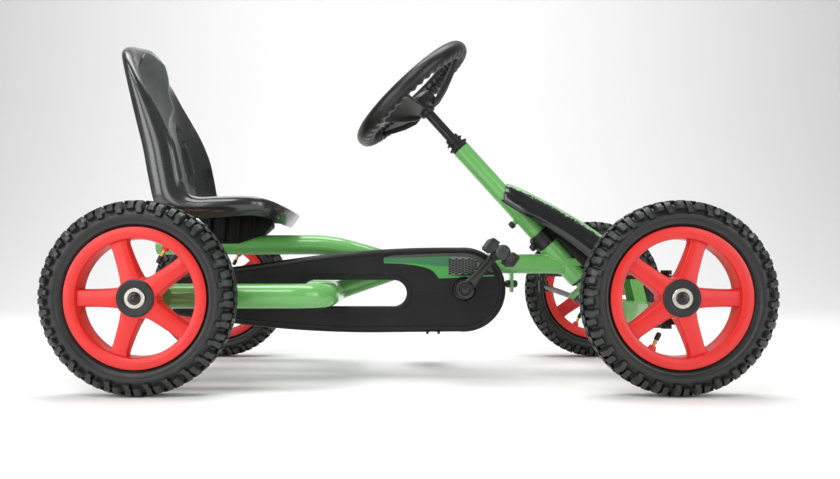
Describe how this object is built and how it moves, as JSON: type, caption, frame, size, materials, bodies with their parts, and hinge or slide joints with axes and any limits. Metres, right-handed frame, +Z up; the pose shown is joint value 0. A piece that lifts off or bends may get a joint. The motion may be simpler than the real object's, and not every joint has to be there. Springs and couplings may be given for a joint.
{
  "type": "pedal go-kart",
  "caption": "Ride-on pedal go-kart with a steel tube frame, bucket seat, steering wheel, chain drive in a guard, swinging front axle and spoked pneumatic wheels.",
  "frame": {"origin": "on the ground, midway between the axles and the wheels of each side", "axes": "+X forward along the kart, +Y to its left, +Z up"},
  "size_m": [1.1694, 0.625, 0.6402],
  "materials": {
    "tyre_rubber": "matt moulded rubber",
    "red_plastic": "semi gloss moulded plastic",
    "hub_black": "matt",
    "bearing_steel": "ground",
    "valve_brass": "turned",
    "nut_steel": "zinc plated",
    "black_steel": "satin black",
    "pedal_plastic": "matt moulded",
    "green_paint": "gloss powder coat",
    "black_plastic": "satin",
    "bolt_steel": "black oxide",
    "cover_gloss": "gloss",
    "seat_plastic": "satin moulded",
    "guard_plastic": "satin moulded",
    "drive_steel": "oiled",
    "grip_plastic": "satin moulded"
  },
  "bodies": {
    "chassis": {"spine_tube": "green_paint", "head_tube": "green_paint", "head_bushes": "black_plastic", "clamp_band": "black_plastic", "rear_fork": "green_paint", "axle_bearings": "bearing_steel", "brace_tube": "green_paint", "bottom_bracket": "green_paint", "crank_bearings": "bearing_steel", "nose_tube": "green_paint", "front_plate": "green_paint", "pivot_bolt": "bolt_steel", "frame_bolts": "bolt_steel", "front_cover": "cover_gloss", "cover_bracket": "black_steel", "drive_chain": "drive_steel", "guard_outer": "guard_plastic", "guard_inner": "guard_plastic", "guard_screws": "bolt_steel"},
    "seat": {"seat_shell": "seat_plastic", "seat_bracket": "black_steel", "seat_clamp": "black_steel"},
    "steering": {"steering_wheel": "grip_plastic", "steering_column": "black_steel", "column_collar": "black_plastic", "drop_arm": "green_paint"},
    "front_axle": {"axle_beam": "green_paint", "kingpins": "bolt_steel"},
    "rear_drive": {"rear_axle": "drive_steel", "rear_axle_nuts": "nut_steel", "rear_sprocket": "drive_steel", "hub_cover_rear_right": "hub_black", "rim_rear_right": "red_plastic", "tyre_rear_right": "tyre_rubber", "valve_rear_right": "valve_brass"},
    "rear_wheel_left": {"bearings_rear_left": "bearing_steel", "hub_cover_rear_left": "hub_black", "rim_rear_left": "red_plastic", "tyre_rear_left": "tyre_rubber", "valve_rear_left": "valve_brass"},
    "cranks": {"crank": "black_steel", "chainring": "drive_steel"},
    "pedal_right": {"pedal_right": "pedal_plastic"},
    "pedal_left": {"pedal_left": "pedal_plastic"},
    "knuckle_right": {"knuckle_right": "black_steel", "wheel_nut_front_right": "nut_steel"},
    "tie_rod_right": {"tie_rod_right": "black_steel"},
    "front_wheel_right": {"bearings_front_right": "bearing_steel", "hub_cover_front_right": "hub_black", "rim_front_right": "red_plastic", "tyre_front_right": "tyre_rubber", "valve_front_right": "valve_brass"},
    "knuckle_left": {"knuckle_left": "black_steel", "wheel_nut_front_left": "nut_steel"},
    "tie_rod_left": {"tie_rod_left": "black_steel"},
    "front_wheel_left": {"bearings_front_left": "bearing_steel", "hub_cover_front_left": "hub_black", "rim_front_left": "red_plastic", "tyre_front_left": "tyre_rubber", "valve_front_left": "valve_brass"}
  },
  "joints": [
    {"name": "seat_slide", "type": "slide", "parent": "chassis", "child": "seat", "axis": [1, 0, 0], "range_m": [-0.07, 0.03]},
    {"name": "steering", "type": "hinge", "parent": "chassis", "child": "steering", "pos_m": [0.1042, 0, 0.4363], "axis": [-0.673, 0, 0.7396], "range_deg": [-60, 60]},
    {"name": "axle_swing", "type": "hinge", "parent": "chassis", "child": "front_axle", "pos_m": [0.4185, 0, 0.122], "axis": [1, 0, 0], "range_deg": [-7, 7]},
    {"name": "rear_axle_spin", "type": "hinge", "parent": "chassis", "child": "rear_drive", "pos_m": [-0.4287, 0, 0.156], "axis": [0, 1, 0], "continuous": true},
    {"name": "rear_left_spin", "type": "hinge", "parent": "rear_drive", "child": "rear_wheel_left", "pos_m": [-0.4287, 0.284, 0.156], "axis": [0, 1, 0], "continuous": true},
    {"name": "crank_spin", "type": "hinge", "parent": "chassis", "child": "cranks", "pos_m": [0.106, 0, 0.1635], "axis": [0, 1, 0], "continuous": true},
    {"name": "pedal_spin_right", "type": "hinge", "parent": "cranks", "child": "pedal_right", "pos_m": [0.16439, -0.13, 0.23067], "axis": [0, 1, 0], "continuous": true},
    {"name": "knuckle_turn_right", "type": "hinge", "parent": "front_axle", "child": "knuckle_right", "pos_m": [0.4287, -0.228, 0.151], "axis": [0, 0, 1], "range_deg": [-12, 12]},
    {"name": "tie_rod_turn_right", "type": "hinge", "parent": "knuckle_right", "child": "tie_rod_right", "pos_m": [0.302, -0.205, 0.164], "axis": [0, 0, 1], "range_deg": [-12, 12]},
    {"name": "front_spin_right", "type": "hinge", "parent": "knuckle_right", "child": "front_wheel_right", "pos_m": [0.4287, -0.284, 0.156], "axis": [0, 1, 0], "continuous": true},
    {"name": "pedal_spin_left", "type": "hinge", "parent": "cranks", "child": "pedal_left", "pos_m": [0.04761, 0.13, 0.09633], "axis": [0, 1, 0], "continuous": true},
    {"name": "knuckle_turn_left", "type": "hinge", "parent": "front_axle", "child": "knuckle_left", "pos_m": [0.4287, 0.228, 0.151], "axis": [0, 0, 1], "range_deg": [-12, 12]},
    {"name": "tie_rod_turn_left", "type": "hinge", "parent": "knuckle_left", "child": "tie_rod_left", "pos_m": [0.302, 0.205, 0.164], "axis": [0, 0, 1], "range_deg": [-12, 12]},
    {"name": "front_spin_left", "type": "hinge", "parent": "knuckle_left", "child": "front_wheel_left", "pos_m": [0.4287, 0.284, 0.156], "axis": [0, 1, 0], "continuous": true}
  ],
  "couplings": [
    {"joint": "crank_spin", "follows": "rear_axle_spin", "ratio": 0.41379},
    {"joint": "knuckle_turn_right", "follows": "steering", "ratio": 0.2},
    {"joint": "tie_rod_turn_right", "follows": "steering", "ratio": -0.2},
    {"joint": "knuckle_turn_left", "follows": "steering", "ratio": 0.2},
    {"joint": "tie_rod_turn_left", "follows": "steering", "ratio": -0.2}
  ]
}
